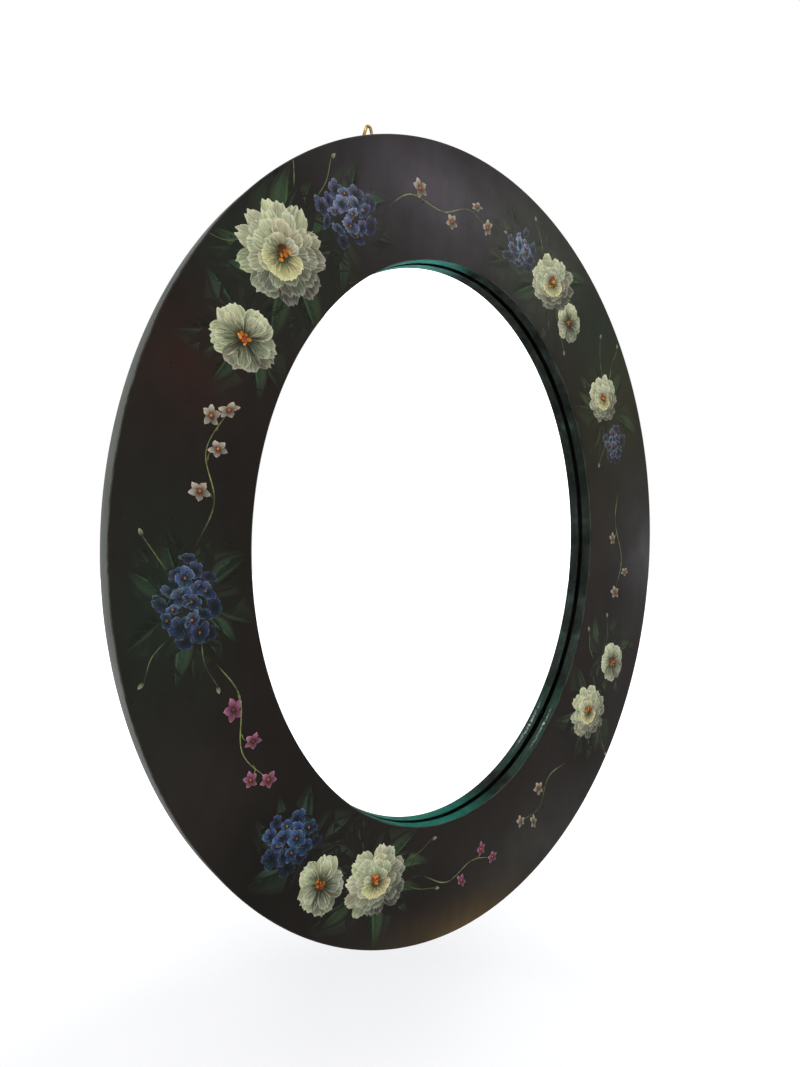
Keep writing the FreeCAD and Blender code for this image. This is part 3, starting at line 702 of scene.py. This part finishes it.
def leaf_colour(tree, tone, across, along, streak, reach, off, side):
    """One half lit and one in shade, a thin vein, and rims that are lost in the ground."""
    dark = add(tree, "Mix", {"Factor": 1.0, 6: tone, 7: "#868f82"}, blend_type="MULTIPLY")
    pale = add(tree, "Mix", {"Factor": 0.16, 6: tone, 7: "#a9b58a"})
    half = add(tree, "MapRange", {
        "Value": across, "From Min": 0.4, "From Max": 0.6,
    }, interpolation_type="SMOOTHSTEP")
    colour = add(tree, "Mix", {"Factor": half, 6: tone, 7: dark})
    lines = add(tree, "ValToRGB", {"Fac": streak}, stops=((0.3, 0.65), (0.65, 1.25)))
    colour = add(tree, "Mix", {"Factor": 1.0, 6: colour, 7: lines}, blend_type="MULTIPLY")
    slope = add(tree, "Math", {0: along, 1: 7.0, 2: streak}, operation="MULTIPLY_ADD")
    slope = add(tree, "Math", {0: off, 1: -4.5, 2: slope}, operation="MULTIPLY_ADD")
    slope = add(tree, "Math", {0: slope}, operation="FRACT")
    veins = add(tree, "ValToRGB", {"Fac": slope}, stops=((0.0, 0.22), (0.3, 0)))
    middle = add(tree, "ValToRGB", {"Fac": off}, stops=((0.01, 0.5), (0.05, 0)))
    light = add(tree, "ValToRGB", {"Fac": across}, stops=((0.05, 0.5), (0.35, 0)))
    veins = add(tree, "Math", {0: veins, 1: middle}, operation="MAXIMUM")
    veins = add(tree, "Math", {0: veins, 1: light}, operation="MAXIMUM")
    colour = add(tree, "Mix", {"Factor": veins, 6: colour, 7: pale})
    soft = add(tree, "Math", {0: half, 1: 0.17, 2: side}, operation="MULTIPLY_ADD")
    ragged = add(tree, "MapRange", {
        "Value": soft, "From Min": 0.2, "From Max": 0.5, "To Min": 1.0, "To Max": 0.0,
    }, interpolation_type="SMOOTHSTEP")
    lost_tip = add(tree, "MapRange", {
        "Value": reach, "From Min": 0.5, "From Max": 1.0, "To Min": 1.0, "To Max": 0.0,
    }, interpolation_type="SMOOTHSTEP")
    return colour, add(tree, "Math", {0: ragged, 1: lost_tip}, operation="MULTIPLY")


petal_paint = brushed("oil colour brushed petals", petal_colour)
leaf_paint = brushed("oil colour brushed leaves", leaf_colour)

# Thin lines and dots of oil colour, laid with the tip of the brush, 2 mm uneven, and thin
# for 10 mm or so where the brush ran dry.
line_paint, tree = begin("oil colour lines and dots")
place = add(tree, "TexCoord").outputs["Object"]
tone = add(tree, "Attribute", attribute_name="tone")
cover = add(tree, "Attribute", attribute_name="cover").outputs["Fac"]
uneven = patches(tree, place, 500, 3, ((0.3, 0.6), (0.7, 1.25)))
loaded = patches(tree, place, 75, 4, ((0.36, 0.25), (0.6, 1)))
cover = add(tree, "Math", {0: cover, 1: loaded}, operation="MULTIPLY")
colour = add(tree, "Mix", {"Factor": 1.0, 6: tone, 7: uneven}, blend_type="MULTIPLY")
ground = add(tree, "Group", node_tree=ground_group)
colour = add(tree, "Mix", {"Factor": cover, 6: ground, 7: colour})
varnish(tree, colour, ground.outputs["Ripple"])


def model_stroke(name, widths, columns, tip_drop=0.0, notch=0.0):
    """A flat stroke, one long and at most one wide, from its root at the origin upwards.

    Its rim stands up 0.02 mm, as paint that a brush has pushed aside.
    """
    rows = len(widths) - 1
    deselect()
    bpy.ops.mesh.primitive_grid_add(
        x_subdivisions=columns, y_subdivisions=rows, size=1, rotation=(math.pi / 2, 0, 0)
    )
    stroke = bpy.context.object
    stroke.name = name
    stroke["columns"] = columns
    bpy.ops.object.transform_apply(location=False, rotation=True, scale=False)
    stroke.data.transform(Matrix.Translation((0, 0, 0.5)))
    for row, width in enumerate(widths):
        height = row / rows
        bpy.ops.object.mode_set(mode="EDIT")
        bpy.ops.mesh.select_all(action="DESELECT")
        bpy.ops.object.mode_set(mode="OBJECT")
        for vertex in stroke.data.vertices:
            vertex.select = abs(vertex.co.z - height) < 0.001
        bpy.ops.object.mode_set(mode="EDIT")
        bpy.ops.transform.resize(value=(width, 1, 1), center_override=(0, 0, height))
    bpy.ops.object.mode_set(mode="OBJECT")
    for vertex in stroke.data.vertices:
        row = vertex.co.z
        share = 2 * vertex.co.x / max(widths[round(row * rows)], 0.001)
        vertex.co.z -= tip_drop * row**3 * share * share
        vertex.co.z -= notch * row**6 * max(0.0, 1 - 3 * abs(share))
        vertex.co.y = -(0.02 + 0.02 * max(abs(share) ** 4, row**5)) * MM
    return stroke


LINE_ROWS = 24
# Name, widths from root to tip, columns, how far the sides drop back and the notch
STROKES = [model_stroke(*shape) for shape in (
    ("broad petal", (0.18, 0.55, 0.86, 1.0, 0.96, 0.76), 10, 0.16, 0.05),
    ("round petal", (0.22, 0.6, 0.88, 1.0, 0.95, 0.7), 4, 0.12, 0.05),
    ("narrow petal", (0.3, 0.6, 0.86, 1.0, 0.92, 0.66, 0.2), 4, 0.05),
    ("leaf", (0.08, 0.5, 0.82, 1.0, 0.96, 0.8, 0.55, 0.28, 0.03), 6, -0.02),
    ("dot", (0.5, 0.92, 1.0, 0.92, 0.5), 4),
    ("line", (1.0,) * (LINE_ROWS + 1), 2),
)]
broad_petal, round_petal, narrow_petal, leaf_stroke, dot_stroke, line_stroke = STROKES

strokes_laid = []
chance = np.random.default_rng(7)
vary = chance.uniform
LAYER = 0.006 * MM  # how much higher each stroke lies than the one under it


def tones(code):
    """A hex colour as an array that can be mixed."""
    return np.array(paint(code)[:3])


def ring_spot(angle, inset):
    """A place on the face, across and up, by angle in degrees and inset in millimetres."""
    turn = math.radians(angle)
    wide, tall = semi_axes(inset)
    return np.array(Vector((wide * math.cos(turn), tall * math.sin(turn))))


def outward(turn):
    """A step of one away from a middle, turned from straight up to the left."""
    way = math.radians(turn)
    return np.array((-math.sin(way), math.cos(way)))


def model_spots(model):
    """A modelled stroke's own corners."""
    spots = np.zeros(len(model.data.vertices) * 3, np.float32)
    model.data.vertices.foreach_get("co", spots)
    return spots.reshape(-1, 3).astype(float)


def lay(model, spots, heights, tone, cover):
    """Copies a modelled stroke to places on the face, with its own colour and cover."""
    copy = bpy.data.objects.new(model.name, model.data.copy())
    bpy.context.collection.objects.link(copy)
    data = copy.data
    half = np.array((HALF_WIDTH, HALF_HEIGHT))
    # Strokes end 1.3 mm from the outer rim and 1 mm from the inner one
    for inset, outside in ((1.3 * MM, True), ((RING - 1.0) * MM, False)):
        reach = np.hypot(*(spots / (half - inset)).T)
        past = reach > 1 if outside else reach < 1
        spots[past] = spots[past] / reach[past, None]
    laid = np.stack([spots[:, 0], FACE_Y + heights, spots[:, 1]], axis=1)
    data.vertices.foreach_set("co", laid.astype(np.float32).ravel())
    colour = np.ones((len(spots), 4), np.float32)
    colour[:, :3] = tone
    layer = data.attributes.new("tone", "FLOAT_COLOR", "POINT")
    layer.data.foreach_set("color", colour.ravel())
    note(data, "cover", cover)
    note(data, "seed", chance.random())
    strokes_laid.append(copy)


def brush(
    model, root, turn, length, width, tone, cover=1.0, bend=0.0, level=0, view=None, fringe=0.0
):
    """One stroke from its root, turned so many degrees from straight up to the left.

    Its bend is how far it curls, in degrees. Its level is how many strokes lie under it.
    A view squashes it towards a middle, as for a flower that is seen from the side. A
    fringe is how ragged its tip is, as a share of its length.
    """
    own = model_spots(model)
    if fringe:
        columns = model["columns"] + 1
        teeth = vary(-fringe, 0.4 * fringe, columns)
        own[:, 2] += teeth[np.arange(len(own)) % columns] * np.clip(own[:, 2], 0, 1) ** 5
    across, along = own[:, 0] * width * MM, own[:, 2] * length * MM
    if abs(bend) > 0.5:
        curl = math.radians(bend) / (length * MM)
        x = -(1 - np.cos(curl * along)) / curl + across * np.cos(curl * along)
        z = np.sin(curl * along) / curl + across * np.sin(curl * along)
    else:
        x, z = across, along
    side = outward(turn - 90)
    spots = root + np.outer(x, side) + np.outer(z, outward(turn))
    if view is not None:
        middle, lean, squash = view
        axis = np.array((math.cos(math.radians(lean)), math.sin(math.radians(lean))))
        spots -= np.outer((spots - middle) @ axis * (1 - squash), axis)
    lay(model, spots, own[:, 1] - LAYER * level, tone, cover)


def line(points, width, tone, cover, level):
    """A line of the brush's tip through points, faint at its start, thin at both ends."""
    points = np.array(points)
    held = np.concatenate([[2 * points[0] - points[1]], points, [2 * points[-1] - points[-2]]])
    path = []
    for step in np.linspace(0, len(points) - 1, LINE_ROWS + 1):
        i = min(int(step), len(points) - 2)
        t = step - i
        a, b, c, d = held[i : i + 4]
        bow = (2 * a - 5 * b + 4 * c - d) * t**2 + (3 * b - a - 3 * c + d) * t**3
        path.append(0.5 * (2 * b + (c - a) * t + bow))
    path = np.array(path)
    way = np.gradient(path, axis=0)
    way /= np.linalg.norm(way, axis=1)[:, None]
    beside = np.stack([way[:, 1], -way[:, 0]], axis=1)
    own = model_spots(line_stroke)
    row = np.round(own[:, 2] * LINE_ROWS).astype(int)
    started = np.clip(own[:, 2] * 5, 0, 1)
    wide = width * MM * (0.4 + 0.6 * started) * (1 - 0.5 * own[:, 2])
    spots = path[row] + beside[row] * (own[:, 0] * wide)[:, None]
    lay(line_stroke, spots, own[:, 1] - LAYER * level, tone, cover * started)


def gather(name):
    """Joins the strokes laid since the last call to one piece for each kind of paint."""
    kinds = {}
    for stroke in strokes_laid:
        kind = stroke.name.split(".")[0]
        if kind.endswith("petal"):
            group = "petals", petal_paint
        elif kind == "leaf":
            group = "leaves", leaf_paint
        else:
            group = "lines", line_paint
        kinds.setdefault(group, []).append(stroke)
    for (label, coat), members in kinds.items():
        deselect()
        for member in members:
            member.select_set(True)
        bpy.context.view_layer.objects.active = members[0]
        bpy.ops.object.join()
        piece = bpy.context.object
        piece.name = f"painted_{label}_{name}"
        piece.data.materials.clear()
        piece.data.materials.append(coat)
        bpy.ops.object.shade_smooth()
        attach(piece, MIRROR_BODY)
    strokes_laid.clear()


CREAM = tones("#b9bc98")
SHADE = tones("#504f45")
WARM = tones("#c6bf86")
GOLD = tones("#c8702a")
RUST = tones("#8e3a22")
LIGHT_FROM = 125  # degrees round from the right, for the light that is painted
GOLDEN_ANGLE = 2.39996  # spreads the flowers of a head evenly, in radians


def light_on(turn):
    """How far a petal on this side of a flower is in the light, from 0 to 1."""
    return 0.5 + 0.5 * math.cos(math.radians(turn + 90 - LIGHT_FROM))


def flower_petal(root, turn, length, width, tone, bend, level, view):
    """One broad ragged petal, with thin light and dark marks of a dry brush along it."""
    tone = tone * vary(0.94, 1.06, 3)
    brush(broad_petal, root, turn, length, width, tone, 1.0, bend, level, view, 0.09)
    turn += bend * 0.4
    for i in range(5):
        aside = (i - 2) * 0.17 + vary(-0.06, 0.06)
        lit = i % 2 == 0
        start = 0.42 if lit else 0.2
        along, across = outward(turn) * start * length, outward(turn + 90) * aside * width
        spot = root + (along - across * (0.35 + start)) * MM
        shade = tone + (tones("#e2e0c2") - tone) * 0.22 if lit else tone * 0.55
        brush(dot_stroke, spot, turn - aside * 34 * width / length, length * vary(0.3, 0.48),
              vary(0.35, 0.6), shade, level=level + 2.5, view=view)


def stamens(middle, size, count, view):
    """A close knot of gold and rust dots."""
    brush(dot_stroke, middle - outward(0) * 0.05 * size * MM, 0, size * 0.11, size * 0.1,
          tones("#6d4a20"), 0.8, level=52, view=view)
    for i in range(count):
        off = chance.normal(0, 0.03 * size * MM, 2)
        wide = size * vary(0.022, 0.04)
        tone = (GOLD, RUST, tones("#dd8a38"))[i % 3]
        brush(dot_stroke, middle + off, vary(0, 360), wide * 1.3, wide, tone,
              level=54 + i, view=view)


def rose(angle, inset, size, lean=0.0, squash=0.9):
    """A full garden rose: four rings of broad petals, a cup in front and gold stamens."""
    middle = ring_spot(angle, inset)
    view = (middle, lean, squash)
    level = 8
    for count, start, long, wide, lift in (
        (13, 0.12, 0.37, 0.23, 0.0),
        (11, 0.10, 0.30, 0.22, 0.1),
        (9, 0.06, 0.25, 0.2, 0.2),
        (6, 0.03, 0.18, 0.18, 0.3),
    ):
        first = vary(0, 360)
        for i in chance.permutation(count):
            turn = first + 360 / count * i + vary(-8, 8)
            share = min(1, max(0, 1.3 * light_on(turn) - 0.15) + lift)
            tone = (SHADE + (CREAM - SHADE) * share) * vary(0.8, 1.1)
            root = middle + outward(turn) * start * size * MM
            flower_petal(root, turn, long * size * vary(0.88, 1.08),
                         wide * size * vary(0.8, 1.12), tone, vary(-14, 14), level, view)
            level += 0.8
    for i in range(5):
        turn = 180 + (i - 2) * 34 + vary(-5, 5)
        root = middle + (outward(turn) * 0.03 - outward(0) * 0.01) * size * MM
        flower_petal(root, turn, 0.2 * size, 0.17 * size, CREAM + (WARM - CREAM) * 0.8,
                     vary(-18, 18), level, view)
        level += 1
    stamens(middle + outward(0) * 0.03 * size * MM, size, 13, view)


def wild_rose(angle, inset, size, lean=0.0):
    """A single wild rose: five notched petals of three strokes each, and gold stamens."""
    middle = ring_spot(angle, inset)
    view = (middle, lean, 0.85)
    first = vary(0, 72)
    level = 6
    for i in range(5):
        for part, (aside, wide) in enumerate(((-12, 0.36), (13, 0.34), (0, 0.26))):
            turn = first + 72 * i + aside + vary(-3, 3)
            share = min(1, 0.1 + 1.1 * light_on(turn) + 0.1 * part)
            root = middle + outward(turn) * 0.05 * size * MM
            long = (0.46, 0.46, 0.38)[part] * size * vary(0.95, 1.04)
            tone = (SHADE + (CREAM - SHADE) * share) * vary(0.86, 1.06)
            flower_petal(root, turn, long, wide * size, tone, vary(-10, 10), level, view)
            level += 1
    stamens(middle, size * 1.3, 14, view)


def hydrangea(angle, inset, across, up, count, deep, pale, size=13):
    """A head of small blue flowers of five round petals, lost in the dark at its rim."""
    middle = ring_spot(angle, inset)
    deep, pale = tones(deep), tones(pale)
    for i in range(9):
        spot = middle + outward(i * 40) * np.array((across, up)) * 0.62 * MM
        brush(leaf_stroke, spot - outward(i * 71) * 8 * MM, i * 71, 22, 19, deep * 0.6,
              0.75, 10, 1 + 0.2 * i)
    for i in reversed(range(count)):
        share = math.sqrt((i + 0.5) / count)
        way = i * GOLDEN_ANGLE
        round_off = np.array((across * math.cos(way), up * math.sin(way)))
        spot = middle + (round_off * share + vary(-1.5, 1.5, 2)) * MM
        near = 0.5 + 0.5 * math.cos(way - math.radians(LIGHT_FROM)) * share
        bright = (0.5 * (1 - share) + 0.62 * near) * vary(0.6, 1.15)
        own = size * vary(0.75, 1.2)
        view = (spot, vary(0, 180), vary(0.5, 0.95))
        first = vary(0, 72)
        level = 3 + 9 * (1 - share)
        for petal in range(5):
            turn = first + 72 * petal + vary(-12, 12)
            share_lit = np.clip(bright * (0.4 + 0.9 * light_on(turn)), 0, 1)
            tone = (deep + (pale - deep) * share_lit) * vary(0.85, 1.15, 3)
            brush(round_petal, spot, turn, own * vary(0.46, 0.6), own * 0.44,
                  tone, float(np.clip(1.3 - 0.75 * share, 0.3, 1)),
                  vary(-20, 20), level + 0.4 * petal, view, 0.12)
        if share < 0.8 and i % 2 == 0:
            brush(dot_stroke, spot - outward(0) * 0.8 * MM, 0, 1.7, 1.4, GOLD * 0.8, 0.9,
                  level=level + 3)


def foliage(angle, inset, count, length, code="#2a3b27"):
    """Leaves that fan out both ways along the ring from behind a bunch of flowers."""
    middle = ring_spot(angle, inset)
    step = ring_spot(angle + 1, inset) - ring_spot(angle - 1, inset)
    along = math.degrees(math.atan2(-step[0], step[1]))
    for i in range(6):
        turn = along + 180 * (i % 2) + 50 * (i // 2 - 1) + vary(-12, 12)
        brush(leaf_stroke, middle, turn, length * 1.4, length * 1.1, tones(code) * 0.6,
              0.54, vary(-15, 15))
    for i in range(count):
        side = along if i % 2 else along + 180
        turn = side + 70 * ((i // 2 + 0.5) / (count / 2) * 2 - 1) + vary(-9, 9)
        long = length * vary(0.8, 1.15)
        tone = tones(code) * vary(0.65, 1.3)
        brush(leaf_stroke, middle + outward(turn) * 12 * MM, turn, long,
              long * vary(0.46, 0.58), tone, 0.9 * vary(0.75, 1.1), vary(-28, 28), 0.4 * i)


def grasses(angle, inset, turns, length, away):
    """Thin bent stalks from behind a bunch, with a pale bud at each end."""
    middle = ring_spot(angle, inset)
    for turn in turns:
        start = middle + outward(turn) * away * MM
        long = length * vary(0.8, 1.15)
        bow = outward(turn + 90) * vary(-0.16, 0.16) * long * MM
        end = start + outward(turn) * long * MM
        line([start, (start + end) / 2 + bow, end], 0.9, tones("#67744a"), 0.75, 5)
        brush(narrow_petal, end, turn + vary(-25, 25), 5.5, 2.6,
              tones("#8f9478"), 0.85, level=6)


def blossom(spot, size, code):
    """A small open blossom of narrow petals with a rust heart."""
    first = vary(0, 72)
    view = (spot, vary(0, 180), vary(0.6, 0.95))
    for i in range(5):
        turn = first + 72 * i + vary(-9, 9)
        tone = tones(code) * (0.5 + 0.6 * light_on(turn))
        brush(narrow_petal, spot, turn, size * 0.55, size * 0.36, tone, 1.0,
              vary(-15, 15), 30 + i, view, 0.1)
    brush(dot_stroke, spot - outward(0) * 0.09 * size * MM, 0, size * 0.2, size * 0.17,
          RUST, level=38)
    brush(dot_stroke, spot - outward(0) * 0.04 * size * MM, 0, size * 0.1, size * 0.1,
          GOLD, level=39)


def spray(route, code, shares, side, bloom_code, size):
    """A thin stem through places on the ring, with small blossoms on twigs beside it.

    They stand at shares of its length, now on the one side and then on the other.
    """
    points = [ring_spot(*place) for place in route]
    line(points, 1.1, tones(code), 0.9, 24)
    for share in shares:
        low = min(int(share * (len(points) - 1)), len(points) - 2)
        t = share * (len(points) - 1) - low
        start = points[low] * (1 - t) + points[low + 1] * t
        way = points[low + 1] - points[low]
        way = way / np.linalg.norm(way)
        beside = np.array((way[1], -way[0])) * side
        end = start
        if share < 0.97:
            end = start + (beside * 8 + way * 7) * MM
            knee = start + (beside * 2 + way * 5) * MM
            line([start, knee, end], 0.77, tones(code), 0.8, 23)
        blossom(end, size * vary(0.8, 1.15), bloom_code)
        side = -side


# Upper left: the largest rose, a wild rose beside it and a blue head over it
foliage(133, 46, 10, 46)
foliage(148, 50, 6, 36, "#243325")
foliage(120, 50, 6, 36, "#2c3c2a")
hydrangea(118, 46, 22, 20, 18, "#262d47", "#7a83a2")
wild_rose(149, 52, 50, lean=60)
rose(134, 42, 76, lean=35)
grasses(130, 44, (8, -20, 96), 34, 34)
spray(
    ((109, 50), (102, 42), (94, 52), (87, 44), (81, 50)), "#7d8657",
    (0.25, 0.5, 0.75, 1.0), -1, "#b0a28f", 13,
)
gather("upper_left")

# Left: a blue head between two thin sprays
foliage(188, 46, 8, 38, "#233527")
hydrangea(188, 46, 19, 27, 20, "#1d2740", "#586a8e")
grasses(188, 46, (150, 35, 200), 28, 24)
spray(
    ((181, 50), (174, 62), (167, 52), (160, 60)), "#75804f",
    (0.35, 0.6, 0.82, 1.0), -1, "#b6a797", 14,
)
spray(
    ((197, 56), (204, 66), (212, 54), (219, 60)), "#8b945c",
    (0.3, 0.55, 0.8, 1.0), 1, "#a3627f", 14,
)
gather("left")

# Bottom left: a rose, a wild rose and a blue head
foliage(250, 48, 10, 42, "#283a26")
foliage(234, 48, 8, 36, "#22322a")
hydrangea(230, 46, 20, 18, 16, "#18233c", "#4d6c98")
wild_rose(240, 34, 44, lean=10)
rose(252, 48, 60, lean=90)
grasses(252, 48, (-110, -70), 30, 26)
spray(
    ((264, 52), (271, 42), (278, 50), (284, 42)), "#7f8a58", (0.4, 0.7, 1.0), 1, "#9c5f7b", 12
)
gather("bottom_left")

# Lower right: a rose and a wild rose over a thin spray
foliage(325, 46, 8, 38, "#23331f")
foliage(336, 46, 6, 32, "#23331f")
rose(324, 48, 52, squash=0.92)
wild_rose(336, 36, 38)
grasses(330, 46, (-10, 15, 190), 34, 24)
spray(
    ((312, 46), (306, 56), (300, 44), (294, 50)), "#75804f", (0.4, 0.7, 1.0), 1, "#a89d8a", 11
)
gather("lower_right")

# Right: a small rose with a blue head
foliage(28, 46, 8, 36, "#2b3a25")
hydrangea(21, 46, 14, 17, 12, "#2a2f48", "#6f7690", 12)
rose(31, 46, 46, lean=10)
grasses(30, 46, (8, -18, 175), 34, 20)
spray(((12, 46), (5, 54), (357, 44), (350, 50)), "#6f774e", (0.4, 0.7, 1.0), 1, "#a39a88", 11)
gather("right")

# Top right: a rose, a wild rose and a blue head
foliage(60, 46, 10, 40, "#303e2d")
foliage(70, 50, 4, 34, "#353f34")
hydrangea(70, 46, 17, 15, 13, "#323750", "#858ba6", 12)
wild_rose(50, 52, 36)
rose(59, 44, 56, lean=100)
grasses(60, 46, (60, 20, 200), 30, 24)
gather("top_right")

for model in STROKES:
    bpy.data.objects.remove(model)
